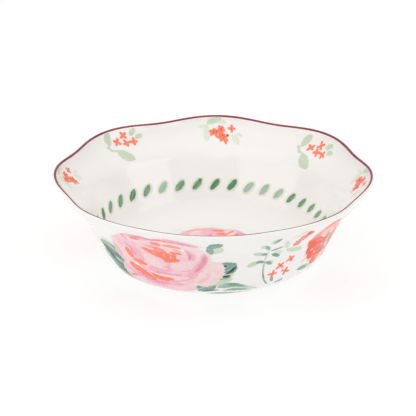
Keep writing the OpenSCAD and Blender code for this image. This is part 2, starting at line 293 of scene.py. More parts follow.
class Canvas:
    """Paint gathered on a set of points in the flat plane of a transfer, x to the right and y up."""

    def __init__(self, x, y):
        self.x, self.y = x, y
        self.colour = np.tile(BLUSH, (len(x), 1))
        self.cover = np.zeros(len(x))

    def lay(self, picked, cover, colour):
        """Puts paint over what is there."""
        under = self.cover[picked] * (1 - cover)
        total = cover + under
        share = np.divide(cover, total, out=np.zeros_like(cover), where=total > 1e-9)[:, None]
        self.colour[picked] = self.colour[picked] * (1 - share) + colour * share
        self.cover[picked] = total

    def brush(self, line, width, colour, second=None, across=True, strength=1.0, soft=0.5,
              nose=0.5, tail=0.5, point=0.5, streak=0.2, rough=0.5, seed=0):
        """One tapering brush mark along a curve through two, three or four control points.

        nose and tail are the shares of the mark over which it swells and thins, and point is how sharply:
        0.5 is round and 1 is pointed. A second colour shades across the mark or along it.
        """
        line = np.asarray(line, float)
        if len(line) == 2:
            line = np.stack([line[0], line[0] * 2 / 3 + line[1] / 3, line[0] / 3 + line[1] * 2 / 3, line[1]])
        elif len(line) == 3:
            line = np.stack([line[0], line[0] / 3 + line[1] * 2 / 3, line[2] / 3 + line[1] * 2 / 3, line[2]])
        spine = bezier(line, 14)
        margin = width / 2 + soft + rough
        low, high = spine.min(0) - margin, spine.max(0) + margin
        in_x = (self.x > low[0]) & (self.x < high[0])
        in_y = (self.y > low[1]) & (self.y < high[1])
        picked = np.nonzero(in_x & in_y)[0]
        if not len(picked):
            return
        px, py = self.x[picked], self.y[picked]
        reach = run_lengths(spine)
        best = np.full(len(picked), 1e9)
        along = np.zeros(len(picked))
        side = np.zeros(len(picked))
        for k in range(len(spine) - 1):
            a, b = spine[k], spine[k + 1]
            run = b - a
            size = np.hypot(*run)
            t = np.clip(((px - a[0]) * run[0] + (py - a[1]) * run[1]) / size**2, 0, 1)
            dx, dy = px - a[0] - t * run[0], py - a[1] - t * run[1]
            away = dx * dx + dy * dy
            nearer = away < best
            best = np.where(nearer, away, best)
            along = np.where(nearer, reach[k] + t * size, along)
            side = np.where(nearer, (run[0] * dy - run[1] * dx) / size, side)
        t = along / reach[-1]
        swell = (1 - (1 - np.clip(t / nose, 0, 1)) ** 2) ** point
        thin = (1 - (1 - np.clip((1 - t) / tail, 0, 1)) ** 2) ** point
        half = width / 2 * swell * thin
        wobble = rough * (noise(px / 1.3, py / 1.3, seed + 11) - 0.5)
        edge = half - np.sqrt(best) + wobble * np.clip(half, 0, 1)
        cover = step_up(-soft / 2, soft / 2, edge) * strength
        bristle = noise(along / 6 + seed, side / 0.55, seed + 5)
        cover = cover * (1 - streak * step_up(0.5, 0.9, bristle))
        tint = np.tile(colour, (len(picked), 1))
        if second is not None:
            share = side / np.maximum(half, 0.3) * 0.5 + 0.5 if across else t
            share = step_up(0.15, 0.85, share + 0.5 * (bristle - 0.5))[:, None]
            tint = tint * (1 - share) + second * share
        tint = tint * (1 + 0.10 * (noise(px / 2.2, py / 2.2, seed + 3)[:, None] - 0.5))
        self.lay(picked, cover, tint)

    def strokes(self, rows, seed, **more):
        """Brush marks in order, each a colour, a width and its control points."""
        for k, (colour, width, *line) in enumerate(rows):
            self.brush(line, width, colour, seed=seed + k, **more)

    def blossom(self, at, r, petals, lean, colour, petal_w=1.7, heart=None, seed=0):
        """A small flower of separate petals, each a short mark from the middle outwards."""
        at = np.asarray(at, float)
        pick = np.random.default_rng(seed)
        for k in range(petals):
            a = math.radians(lean + 360 * k / petals + pick.uniform(-12, 12))
            tip = at + np.array([math.cos(a), math.sin(a)]) * r * pick.uniform(0.85, 1.1)
            self.brush([at, tip], petal_w, colour, streak=0.1, rough=0.4, nose=0.4, tail=0.35, soft=0.4,
                       seed=seed + k)
        self.brush([at - [0.5, 0.2], at + [0.5, 0.2]], petal_w * 0.9, heart if heart is not None else colour,
                   soft=0.4, streak=0, seed=seed)


# ---- the painted pattern ----
# The stroke lists below follow one maker's pattern closely and are not a generic design.
# Each row is a colour, a width and two or three control points, in millimetres.


def swirl(w, h, share, degrees):
    """A place in an oval flower: a share of the way out from its middle."""
    a = math.radians(degrees)
    return np.array([w / 2 * share * math.cos(a), h / 2 * share * math.sin(a)])


def paint_peony(canvas, seed):
    """A full flower about 82 mm wide and 68 mm high, built up from washes to fine strokes."""
    pick = np.random.default_rng(seed)
    middle = np.array([0.0, 5.0])
    washes = [
        (SHELL, 16, (-33, 25), (-20, 31), (-2, 31)), (BLUSH, 14, (-6, 31), (14, 36), (32, 28)),
        (BLUSH, 15, (26, 31), (33, 16), (25, 0)), (SHELL, 17, (-33, 25), (-40, 8), (-27, -6)),
        (SHELL, 17, (-36, -6), (-30, -20), (-4, -25)), (SHELL, 13, (-8, -22), (4, -26), (20, -17)),
        (SHELL, 50, (-25, 8), (0, 8), (22, 8)), (SHELL, 14, (24, 6), (22, -5), (12, -14)),
    ]
    canvas.strokes(washes, seed, streak=0.05, rough=1.6, soft=1.0)
    canvas.brush([(37, 9), (37, -3), (22, -16)], 17, BLUSH, nose=0.2, tail=0.45, streak=0.05, rough=1.4,
                 soft=0.9, seed=seed + 12)
    for k in range(26):
        a = 360 * k / 26 + pick.uniform(-8, 8)
        share = pick.uniform(0.35, 0.92)
        span = pick.uniform(12, 26)
        line = [middle + swirl(80, 60, share, a - span), middle + swirl(80, 60, share * 1.12, a),
                middle + swirl(80, 60, share, a + span)]
        tone = [BLUSH, PINK, SHELL][int(pick.integers(3))]
        canvas.brush(line, pick.uniform(2, 4.5), tone, strength=0.55, streak=0.6, soft=0.9,
                     seed=seed + 20 + k)
    pinks = [
        (PINK, 13, (-40, 16), (-27, 24), (-17, 21)), (PINK, 9, (-25, 16), (-21, 9), (-16, 2)),
        (PINK, 5, (-42, 11), (-40, 5), (-36, -1)), (PINK, 7.5, (-14, -4), (-5, -7), (4, 0)),
        (PINK, 4.5, (4, 4), (5, 0), (3, -5)), (PINK, 6.5, (33, 20), (32, 6), (15, -10)),
        (ROSE, 3.6, (33, 17), (31, 7), (22, -3)), (PINK, 5, (24, -4), (14, -12), (3, -14)),
        (PINK, 6, (21, 27), (26, 18), (20, 8)), (PINK, 6, (-15, -15), (-4, -18), (12, -17)),
        (PINK, 5, (-37, -8), (-32, -14), (-22, -17)), (PINK, 6, (-12, 24), (-5, 24), (2, 25)),
        (PINK, 3.6, (-26, 36), (-14, 37), (0, 35)), (ROSE, 2.8, (-20, 35), (-10, 37), (0, 35)),
        (PINK, 3.6, (0, 37), (18, 40), (36, 32)), (ROSE, 2.4, (6, 36), (20, 37), (33, 31)),
        (PINK, 4.6, (-18, -18), (-8, -24), (10, -20)), (ROSE, 2.6, (-30, 20), (-25, 12), (-22, 5)),
        (ROSE, 2.4, (-8, -7), (2, -9), (12, -7)), (ROSE, 2.6, (-26, -13), (-14, -18), (0, -19)),
        (PINK, 3.4, (12, 25), (18, 21), (16, 14)), (PINK, 5, (-38, 23), (-34, 27), (-28, 28)),
        (ROSE, 2.2, (20, 24), (24, 17), (20, 10)), (PINK, 4, (8, 0), (14, -2), (20, 0)),
    ]
    canvas.strokes(pinks, seed + 50, strength=0.85, streak=0.35, rough=1.2, soft=0.8)
    lights = [
        (BLUSH, 8, (-16, 9), (-8, 3), (-1, 0)), (BLUSH, 8, (5, 2), (12, -2), (23, 9)),
        (BLUSH, 4.5, (-9, -10), (5, -12), (17, -9)), (BLUSH, 3.4, (-31, 7), (-30, 3), (-27, -2)),
        (BLUSH, 3.6, (25, 28), (29, 20), (27, 10)), (BLUSH, 3, (15, 22), (18, 18), (17, 13)),
        (BLUSH, 4, (-24, 29), (-14, 32), (-8, 28)), (BLUSH, 3.4, (-35, -13), (-30, -19), (-20, -22)),
        (BLUSH, 4, (6, 33), (16, 34), (26, 31)), (BLUSH, 3, (-13, 3), (-4, -3), (2, -2)),
        (BLUSH, 2.6, (-4, -20), (4, -22), (12, -20)), (BLUSH, 3, (-40, 20), (-38, 14), (-37, 8)),
    ]
    canvas.strokes(lights, seed + 80, strength=0.9, streak=0.4, rough=1.0, soft=0.9)
    corals = [
        (CORAL, 5.6, (-4.5, 30), (0, 31), (4, 28.5)), (CORAL, 6, (-15, 17.5), (-7, 15), (1, 9)),
        (CORAL, 9.5, (-1, 24), (0, 14), (5, 6)), (CORAL, 4.6, (1, 5.5), (7, 9), (13, 8.4)),
        (CORAL, 4.4, (5, 29.5), (12, 31), (19, 27)), (CORAL, 4.6, (5, 12), (10, 20), (16.5, 16)),
        (CORAL, 3.4, (8, 8), (10.5, 13), (9, 17)), (CORAL, 5.4, (-30, 12), (-28, 7), (-25.5, 1.6)),
        (CORAL, 3.8, (-20, 32), (-16, 33.5), (-12, 32)), (CORAL, 1.8, (-26, 36), (-25, 32), (-23, 27)),
        (CORAL, 5, (-26, 0.5), (-20, 0.4), (-14, -2)), (CORAL, 6.4, (-30.5, -4), (-24, -10), (-13, -13)),
        (CORAL, 3.6, (-19, -12), (-13, -13), (-9, -17)), (CORAL, 4.4, (-12.5, -10), (-5, -15.5), (5, -12)),
        (CORAL, 2.4, (-33, -18), (-30, -18), (-26, -17)), (CORAL, 3, (-8, 24), (-3, 22), (0, 19)),
        (CORAL, 1.4, (12, 25), (15, 22), (16, 19)), (CORAL, 1.6, (-4, 36), (6, 36.5), (14, 36)),
    ]
    canvas.strokes(corals, seed + 110, streak=0.2, rough=0.8, soft=0.5)
    flecks = [(PALE_CORAL, 1.6, (-2, 20), (1, 16)), (PALE_CORAL, 1.4, (1, 14), (3, 10)),
              (BLUSH, 1.6, (5, 19), (8, 14)), (PALE_CORAL, 1.4, (-8, 15), (-4, 12))]
    canvas.strokes(flecks, seed + 140, streak=0.2, soft=0.5)


def outer_peony(canvas, seed):
    """The large pink flower outside, with dark and pale leaves round it."""
    greens = [
        (PALE_SAGE, 8, (-61, 8), (-50, 8), (-34, 2)), (TEAL, 15, (-63, 4), (-49, 1), (-32, -5)),
        (TEAL, 14, (-60, -4), (-46, -9), (-32, -13)), (TEAL, 10, (-52, -12), (-40, -18), (-22, -22)),
        (TEAL, 6, (-44, -22), (-32, -27), (-14, -30)), (DEEP_TEAL, 5, (-60, 3), (-50, -1), (-36, -5)),
        (DEEP_TEAL, 5, (-55, -7), (-45, -11), (-35, -13)), (DEEP_TEAL, 4, (-46, -14), (-36, -19), (-24, -22)),
        (SAGE, 1.8, (-58, 6), (-48, 4), (-38, 0)), (SAGE, 1.6, (-50, -5), (-43, -8), (-37, -9)),
        (SAGE, 8, (37.5, 20), (43, 25), (49, 31.5)), (TEAL, 5.5, (37.5, 18), (38.5, 26), (41, 34)),
        (TEAL, 6.5, (38, 31), (44, 34), (51, 36.5)), (SAGE, 6, (37, -10), (45, -7), (50, -2)),
        (TEAL, 12, (38.5, -0.5), (46, 0), (52.5, 7)), (TEAL, 4.4, (38.5, 5), (46, 6.5), (53.5, 6.5)),
        (TEAL, 4, (35, -11), (41, -9), (47, -7)), (SAGE, 5.4, (27, -16.5), (37, -14), (48, -9.5)),
        (TEAL, 5.6, (35, -19), (46, -14), (58, -21)), (PALE_SAGE, 2.4, (39, -20), (49, -18.5), (59, -23)),
        (TEAL, 4, (38, -23), (48, -21), (58, -25)), (SAGE, 4.4, (52, -20), (58, -21), (63, -25)),
        (TEAL, 3.2, (13, -24), (20, -20), (26, -15.5)), (TEAL, 7.5, (20, -24.5), (27, -19.5), (35, -17)),
        (DEEP_TEAL, 3, (22, -25), (29, -22), (36, -22)), (TEAL, 7, (24, -31), (38, -29), (50, -31)),
        (SAGE, 4, (44, -30), (51, -29), (58, -31)),
    ]
    canvas.strokes(greens, seed + 300, streak=0.35, point=0.75, rough=0.8, soft=0.6)
    inks = [
        (INK, 4.6, (-60, 3), (-54, -3), (-45, -9)), (INK, 2.8, (41.5, 5), (43.5, 4), (46, 4)),
        (INK, 2, (43, -5), (48, -2), (53, 4)), (INK, 2, (40, -7), (43, -7), (47, -6)),
    ]
    canvas.strokes(inks, seed + 340, streak=0.25, point=0.8, soft=0.5)
    paint_peony(canvas, seed)


def outer_poppy(canvas, seed):
    """A coral flower with broad ragged petals and a dark heart."""
    pick = np.random.default_rng(seed)
    leaves = [
        (TEAL, 4.6, (-23, -18), (-15, -18), (-7, -20)), (SAGE, 3.6, (-14, -18), (-8, -18.5), (-2, -20)),
        (TEAL, 5, (10, -22), (20, -24), (28, -20)), (SAGE, 4, (12, -25), (20, -27), (27, -25)),
        (TEAL, 5, (-4, -25), (2, -30), (10, -29)),
    ]
    canvas.strokes(leaves, seed + 300, streak=0.35, point=0.75, rough=0.8, soft=0.6)
    petals = [
        (VERMILION, 22, (2, 4), (-12, 18), (-29, 31)), (DEEP_VERMILION, 16, (0, 4), (-16, 10), (-27, 14)),
        (DEEP_VERMILION, 15, (4, 2), (-12, 2), (-24, 1)), (DEEP_VERMILION, 13, (4, 0), (-8, -4), (-19, -7)),
        (VERMILION, 24, (2, 4), (3, 20), (0, 31)), (VERMILION, 26, (2, 4), (18, 16), (29, 23)),
        (DEEP_VERMILION, 24, (2, 2), (20, 2), (31, -1)), (VERMILION, 18, (6, -2), (16, -12), (22, -17)),
        (VERMILION, 11, (8, -4), (0, -12), (-10, -17)),
    ]
    canvas.strokes(petals, seed, streak=0.08, rough=2.4, soft=0.6, nose=0.8, tail=0.3)
    for k in range(30):
        a = 360 * k / 30 + pick.uniform(-8, 8)
        share = pick.uniform(0.35, 0.8)
        line = [swirl(58, 50, share - 0.2, a - 5), swirl(58, 50, share, a),
                swirl(58, 50, share + 0.16, a + 6)]
        tone = [DEEP_VERMILION, DEEP_VERMILION, VERMILION, DEEP_VERMILION, PALE_CORAL][int(pick.integers(5))]
        canvas.brush(line, pick.uniform(1.4, 3), tone, strength=0.6, streak=0.5, soft=0.7, point=0.8,
                     seed=seed + 40 + k)
    lights = [
        (SHELL, 7, (-20, 23), (-14, 15), (-4, 7)), (PALE_CORAL, 4, (-17, 17), (-10, 12), (-3, 8)),
        (SHELL, 5, (-2, 14), (2, 10), (6, 6)), (SHELL, 3.6, (8, 14), (14, 13), (19, 9)),
        (PALE_CORAL, 3.4, (10, 6), (15, 4), (20, 3)), (PALE_CORAL, 5, (-4, -14), (6, -14), (18, -17)),
        (SHELL, 2, (-18, -0.5), (-15.5, -2)), (SHELL, 2, (-12, -5), (-10, -6.5)),
        (SHELL, 1.8, (-6, 0.5), (-4, -2)),
    ]
    canvas.strokes(lights, seed + 80, streak=0.4, soft=0.7, rough=0.8)
    heart = [
        (SAGE, 5, (4, 6), (1, 0), (6, -8)), (TEAL, 2.4, (5, 6), (3, 0), (8, -7)),
        (INK, 3.2, (6, 6), (9, -1), (13, -10)), (INK, 2.6, (6, -7), (1, -8.5), (-5, -11)),
        (TEAL, 2, (3, -4), (-2, -6), (-6, -8)), (INK, 1.6, (12, 6), (15, 3), (18, 2)),
    ]
    canvas.strokes(heart, seed + 100, streak=0.25, point=0.8, soft=0.5)


def fern_spray(canvas, seed):
    """A curved stem with paired leaflets, each a dark mark over a pale one."""
    canvas.brush([(6, -21), (-1, -14), (-3, 3), (-0.3, 17)], 1.3, TEAL, second=SAGE, across=False, soft=0.5,
                 nose=0.1, tail=0.1, streak=0.1, seed=seed)
    pales = [
        (SAGE, 3.6, (-2, 29), (-1, 33), (2, 36)), (SAGE, 4.4, (-9, 29), (-7, 26), (-4, 22)),
        (SAGE, 4, (-4, 13), (-8, 14.5), (-12, 15.5)), (PALE_SAGE, 3.4, (4, 13.5), (7, 13), (11, 11)),
        (SAGE, 5, (-6, 5), (-10, 4.5), (-14, 2)), (PALE_SAGE, 3, (1, 5), (4, 4), (6, 2)),
    ]
    canvas.strokes(pales, seed + 10, streak=0.1, soft=0.9, rough=0.6)
    darks = [
        (TEAL, 3, (0.5, 16.5), (5, 17), (10, 20.5)), (TEAL, 3.2, (-0.5, 29), (1, 32), (4, 36)),
        (TEAL, 3.4, (-1, 18), (-2.5, 22), (-5.5, 27.5)), (TEAL, 2.8, (-1, 12), (-3, 13.5), (-6, 13)),
        (TEAL, 3.6, (2.5, 11.8), (6, 11), (9.5, 7.8)), (TEAL, 3.2, (-1.5, 4), (-4, 6), (-8.5, 5)),
        (TEAL, 3.2, (-1, 4), (2, 3.5), (5, 0.5)),
    ]
    canvas.strokes(darks, seed + 20, streak=0.3, point=0.7, soft=0.6)


def outer_fern(canvas, seed):
    """The fern with loose coral blossoms, a pale leaf and a close cluster beside it."""
    fern_spray(canvas, seed)
    for k, (x, y) in enumerate([(21, 1.5), (13, -3.5), (19, -10.5), (8, -10.5)]):
        canvas.blossom((x, y), 4.2, 4, 20 + 25 * k, CORAL, petal_w=2.3, heart=DEEP_CORAL,
                       seed=seed + 60 + 5 * k)
    bits = [(TEAL, 2.6, (8, -13), (8, -16), (9.5, -19)), (TEAL, 2.6, (12, -22), (15, -20), (19, -19))]
    canvas.strokes(bits, seed + 90, streak=0.3, soft=0.6)
    pales = [(SAGE, 4, (9, 31), (12, 24), (14, 16)), (SAGE, 5, (14, 14), (21, 11), (29, 10)),
             (PALE_SAGE, 3, (13, 31), (18, 36), (24, 39))]
    canvas.strokes(pales, seed + 95, strength=0.85, streak=0.1, soft=0.9)
    for k, (x, y, r) in enumerate([(21.5, 19.5, 3.6), (22, 25, 4.4), (24, 30, 4.2), (26.5, 34, 3.6)]):
        canvas.blossom((x, y), r, 5, 15 + 30 * k, VERMILION, petal_w=3.4, seed=seed + 100 + 6 * k)
    dots = [(INK, 1.8, (21.8, 22.6), (23.4, 23.6)), (INK, 1.6, (25.4, 33.4), (26.8, 34.6)),
            (BLUSH, 1.6, (23, 27.4), (24.4, 28.4)), (BLUSH, 1.4, (26, 30), (27.4, 31))]
    canvas.strokes(dots, seed + 120, soft=0.4, streak=0)


def cluster_sprig(canvas, seed):
    """A close cluster of coral blossoms with dark hearts, and soft green leaf shadows round it."""
    canvas.brush([(9, 7), (4, 10.5), (-1.5, 10.8)], 4.8, SAGE, streak=0.1, strength=0.85, soft=1.0, seed=seed)
    shadows = [
        (SAGE, 3, (1, 8), (-2, 9), (-5, 8)), (SAGE, 4.8, (9, 6), (9.5, 0), (8, -6.5)),
        (SAGE, 2.4, (16, 5), (12, 6), (8, 5)), (SAGE, 4.6, (-10, -1), (-12, -3), (-15, -8)),
        (SAGE, 2.2, (-13, 0), (-15, 0), (-18, -1)),
    ]
    canvas.strokes(shadows, seed + 1, streak=0.1, strength=0.45, soft=1.2)
    for k, (x, y, r) in enumerate([(3.8, 0.6, 3.6), (-1.6, 2.6, 3.2), (-3.6, -3.6, 4.2), (-0.6, -1.6, 3.2)]):
        canvas.blossom((x, y), r, 5, 20 + 34 * k, CORAL, petal_w=2.7, heart=DEEP_CORAL,
                       seed=seed + 20 + 6 * k)
    canvas.blossom((-9.4, 3.6), 3, 4, 85, CORAL, petal_w=1.9, seed=seed + 50)
    canvas.brush([(-4, -5), (-6, -9)], 2, CORAL, soft=0.4, seed=seed + 56)
    dots = [(INK, 1.4, (1.4, 1), (2, 0.2)), (INK, 1.3, (-3.4, -2.1), (-2.4, -2.1)),
            (INK, 1.4, (-6.8, -2.4), (-6, -1.6)), (BLUSH, 1.3, (0.4, -1), (0.2, -2.4)),
            (BLUSH, 1.2, (-4.6, 0.4), (-6, 0.2)), (INK, 1, (-9.2, 3.2), (-9, 2.8))]
    canvas.strokes(dots, seed + 60, soft=0.4, streak=0, strength=0.85)


def loose_sprig(canvas, seed):
    """Four loose coral blossoms, two large soft leaves on a stalk and two small ones."""
    leaves = [
        (SAGE, 6, (13, 0), (15, 6), (10.5, 10)), (SAGE, 7.6, (9.5, -5), (7, -11), (-1.5, -14.5)),
        (SAGE, 1.8, (14.5, 2), (17, -3), (14, -5.5), (9, -5)), (SAGE, 2, (18, 0), (16, -1), (15, -2)),
        (SAGE, 4, (-6.5, 3.5), (-8, 6.5), (-12, 8.5)), (SAGE, 3.6, (-9.6, 1.4), (-12, 2.4), (-16, 3.4)),
    ]
    canvas.strokes(leaves, seed, streak=0.1, strength=0.95, soft=0.8, point=0.6)
    blossoms = [(6.4, 0.9, 30), (-0.9, 4.6, 150), (-0.8, -1.4, 250), (-6.8, -1.2, 100)]
    for k, (x, y, lean) in enumerate(blossoms):
        canvas.blossom((x, y), 3.6, 4, lean, CORAL, petal_w=2.2, seed=seed + 10 + 5 * k)


BAND_LEAVES = 40
BAND_R = 82.6
BAND_LEAN = 130
BAND_START = 91                            # angle of the first leaf
BAND_CROWDING = 5                          # drift from even spacing, in degrees
BAND_ASKEW = 1.7                           # how much lower the ring sits towards +X, and higher towards -X
BAND_TONES = "DDMLMDMMDMMMMMMDLLLD"          # dark, middle and light leaves, counted round from 90 degrees


def leaf_band(canvas, seed):
    """A ring of leaning leaves, each a dark stroke inside a pale halo. The canvas's x runs round the ring."""
    pitch = 2 * math.pi * BAND_R / BAND_LEAVES
    tones = {"D": BAND_DARK, "M": BAND_MIDDLE, "L": BAND_LIGHT}
    pick = np.random.default_rng(seed)
    for k in range(BAND_LEAVES):
        lean = BAND_LEAN + pick.uniform(-4, 4)
        run = np.array([math.cos(math.radians(lean)), math.sin(math.radians(lean))])
        cross = np.array([-run[1], run[0]])
        middle = np.array([pitch * (k + 0.5), pick.uniform(-0.3, 0.3)])
        tone = tones[BAND_TONES[k % len(BAND_TONES)]]
        canvas.brush([middle - run * 6, middle + cross * 0.6, middle + run * 6.2], 6.6, PALE_SAGE, soft=1.4,
                     point=0.55, streak=0.1, rough=0.9, seed=seed + k)
        canvas.brush([middle - run * 5, middle + cross * 0.5, middle + run * 5], 4.4, tone, soft=0.8,
                     point=0.55, streak=0.35, rough=0.7, seed=seed + 60 + k)


FLOOR_TURN = math.radians(-53)


def floor_peony(canvas, seed):
    """The same flower on the floor, a little larger and turned so that a corner petal points to +Y."""
    x, y = canvas.x / 1.12, canvas.y / 1.12
    canvas.x = x * math.cos(FLOOR_TURN) + y * math.sin(FLOOR_TURN)
    canvas.y = -x * math.sin(FLOOR_TURN) + y * math.cos(FLOOR_TURN)
    paint_peony(canvas, seed)
    accents = [
        (PALE_CORAL, 2.4, (-42, 8), (-42, 16), (-37, 24)), (CORAL, 3.2, (-34, 23), (-31, 26), (-29, 30)),
        (CORAL, 4.4, (-28, 22), (-26, 25), (-23, 27)), (CORAL, 3.4, (-21, 34), (-17, 31), (-14, 26)),
    ]
    canvas.strokes(accents, seed + 160, soft=0.5, streak=0.2)


# ---- turning painted points into thin closed shells ----


def shell(name, x, y, place, side, painter, flip):
    """A closed thin shell over a grid of points where the painter leaves paint, with its colours."""
    rows, columns = x.shape
    flat_x, flat_y = x.reshape(-1).copy(), y.reshape(-1).copy()
    canvas = Canvas(flat_x, flat_y)
    painter(canvas)
    cover = canvas.cover.reshape(rows, columns)
    painted = cover > 0.02
    kept = painted[:-1, :-1] | painted[1:, :-1] | painted[:-1, 1:] | painted[1:, 1:]
    index = np.arange(rows * columns).reshape(rows, columns)
    corners = [index[:-1, :-1], index[:-1, 1:], index[1:, 1:], index[1:, :-1]]
    quads = np.stack([c[kept] for c in corners], axis=-1)
    padded = np.pad(kept, 1)
    edges = []
    for neighbour, (a, b) in (
        (padded[:-2, 1:-1], (0, 1)), (padded[1:-1, 2:], (1, 2)),
        (padded[2:, 1:-1], (2, 3)), (padded[1:-1, :-2], (3, 0)),
    ):
        bare = kept & ~neighbour
        edges.append(np.stack([corners[a][bare], corners[b][bare]], axis=-1))
    edges = np.concatenate(edges)
    # Smooth the stepped outline of the patch before it is laid on the skin.
    for _ in range(3):
        for flat in (flat_x, flat_y):
            total = np.zeros_like(flat)
            count = np.zeros_like(flat)
            for a, b in ((0, 1), (1, 0)):
                np.add.at(total, edges[:, a], flat[edges[:, b]])
                np.add.at(count, edges[:, a], 1)
            on_edge = count > 0
            flat[on_edge] = 0.5 * flat[on_edge] + 0.5 * total[on_edge] / count[on_edge]
    used = np.unique(quads)
    renumber = np.full(rows * columns, -1)
    renumber[used] = np.arange(len(used))
    a, s = place(flat_x[used], flat_y[used])
    high = side.at(a, s, PAINT_LIFT + PAINT_T * canvas.cover[used])
    low = side.at(a, s, np.full(len(used), -PAINT_LIFT))
    quads, edges = renumber[quads], renumber[edges]
    n = len(used)
    walls = np.stack([edges[:, 1], edges[:, 0], edges[:, 0] + n, edges[:, 1] + n], axis=-1)
    faces = np.concatenate([quads, quads[:, ::-1] + n, walls])
    if flip:
        faces = faces[:, ::-1]
    piece = mesh_object(name, np.concatenate([high, low]), faces)
    paint = np.concatenate([canvas.colour[used], canvas.cover[used][:, None]], axis=1)
    layer = piece.data.color_attributes.new("paint", "FLOAT_COLOR", "POINT")
    layer.data.foreach_set("color", np.concatenate([paint, paint]).astype(np.float32).reshape(-1))
    return piece


def flat_grid(width, height, step):
    """A grid of points round the middle of a transfer."""
    x = np.linspace(-width / 2, width / 2, int(width / step) + 1)
    y = np.linspace(-height / 2, height / 2, int(height / step) + 1)
    return np.meshgrid(x, y)


def transfer(name, side, angle, s0, width, height, step, painter, seed):
    """A painted patch laid on the skin with its middle at an angle and a length along the section."""
    def place(x, y):
        s = s0 + y
        return angle + np.degrees(x / side.radius(s)), s
    x, y = flat_grid(width, height, step)
    return shell(name, x, y, place, side, lambda canvas: painter(canvas, seed), flip=side is inside)


# ---- materials ----


class Nodes:
    """A small helper for making a node material."""

    def __init__(self, name):
        self.material = bpy.data.materials.new(name)
        self.material.use_nodes = True
        self.tree = self.material.node_tree
        self.shader = self.tree.nodes["Principled BSDF"]

    def add(self, kind, **values):
        node = self.tree.nodes.new(kind)
        for key, value in values.items():
            setattr(node, key, value)
        return node

    def link(self, a, b):
        self.tree.links.new(a, b)

    def noise(self, scale, detail=2.0, roughness=0.5):
        where = self.add("ShaderNodeTexCoord")
        node = self.add("ShaderNodeTexNoise")
        node.inputs["Scale"].default_value = scale
        node.inputs["Detail"].default_value = detail
        node.inputs["Roughness"].default_value = roughness
        self.link(where.outputs["Object"], node.inputs["Vector"])
        return node.outputs["Fac"]

    def ramp(self, value, low, high, start=0.3, end=0.7):
        node = self.add("ShaderNodeMapRange")
        node.inputs["From Min"].default_value = start
        node.inputs["From Max"].default_value = end
        node.inputs["To Min"].default_value = low
        node.inputs["To Max"].default_value = high
        self.link(value, node.inputs["Value"])
        return node.outputs["Result"]

    def mix(self, share, first, second):
        node = self.add("ShaderNodeMix", data_type="RGBA")
        for socket, value in ((0, share), (6, first), (7, second)):
            if isinstance(value, (tuple, list, np.ndarray)):
                node.inputs[socket].default_value = (*value[:3], 1)
            else:
                self.link(value, node.inputs[socket])
        return node.outputs[2]

    def bump(self, height, distance, strength=1.0):
        node = self.add("ShaderNodeBump")
        node.inputs["Distance"].default_value = distance
        node.inputs["Strength"].default_value = strength
        self.link(height, node.inputs["Height"])
        self.link(node.outputs["Normal"], self.shader.inputs["Normal"])


WARM_WHITE = (0.885, 0.868, 0.838)
COOL_WHITE = (0.895, 0.888, 0.870)


def glaze_colour(nodes):
    """The glaze over white clay: barely warmer where it is thin."""
    return nodes.mix(nodes.ramp(nodes.noise(22, 3), 0, 1), WARM_WHITE, COOL_WHITE)


def glaze_gloss(nodes, ior=1.52, coat=0.35):
    """A clear gloss with the faint pull and orange peel of a fired surface."""
    shader = nodes.shader
    shader.inputs["IOR"].default_value = ior
    shader.inputs["Coat Weight"].default_value = coat
    shader.inputs["Coat Roughness"].default_value = 0.03
    nodes.bump(nodes.noise(95, 2), 0.00012, 0.25)


def make_glaze():
    nodes = Nodes("clear_glaze")
    nodes.link(glaze_colour(nodes), nodes.shader.inputs["Base Color"])
    nodes.link(nodes.ramp(nodes.noise(300, 2), 0.05, 0.10), nodes.shader.inputs["Roughness"])
    glaze_gloss(nodes)
    return nodes.material


def make_clay():
    """Bare fired clay: matt, a little gritty and greyer where it has rubbed on the kiln shelf."""
    nodes = Nodes("bisque_porcelain")
    grime = nodes.ramp(nodes.noise(260, 5, 0.65), 0, 1, 0.42, 0.75)
    nodes.link(nodes.mix(grime, (0.80, 0.765, 0.70), (0.62, 0.58, 0.52)), nodes.shader.inputs["Base Color"])
    nodes.link(nodes.ramp(nodes.noise(700, 3), 0.62, 0.85), nodes.shader.inputs["Roughness"])
    nodes.bump(nodes.noise(2200, 3), 0.00006, 0.6)
    return nodes.material


def make_enamel(name):
    """Painted enamel under a thin flux: the paint attribute's colour where it covers the glaze."""
    nodes = Nodes(name)
    paint = nodes.add("ShaderNodeVertexColor", layer_name="paint")
    grain = nodes.ramp(nodes.noise(1500, 3, 0.6), 0.93, 1.05)
    tinted = nodes.add("ShaderNodeVectorMath", operation="SCALE")
    nodes.link(paint.outputs["Color"], tinted.inputs[0])
    nodes.link(grain, tinted.inputs["Scale"])
    nodes.link(nodes.mix(paint.outputs["Alpha"], glaze_colour(nodes), tinted.outputs[0]),
               nodes.shader.inputs["Base Color"])
    nodes.link(nodes.ramp(paint.outputs["Alpha"], 0.07, 0.16, 0, 1), nodes.shader.inputs["Roughness"])
    glaze_gloss(nodes, ior=1.36, coat=0.0)
    return nodes.material


def finish(piece, node, material):
    """Gives a piece its material and body, and lets it stand for its CAD node."""
    piece.data.materials.append(material)
    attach(piece, "root")
    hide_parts(node)
    return piece


# ---- the bowl ----

glaze = make_glaze()
clay = make_clay()

EDGE_R = 0.7                               # rounding of the foot ring's edges
FOOT_OUT = FOOT_R - FOOT_TAPER
FOOT_IN = FOOT_OUT - FOOT_W


def foot_corner(r, side):
    """A quarter round at the bottom of the foot ring, turned outwards or inwards."""
    a = np.radians(np.linspace(0, 90, 7))
    return np.stack([r - side * EDGE_R + side * EDGE_R * np.cos(a), EDGE_R - EDGE_R * np.sin(a)], axis=1)


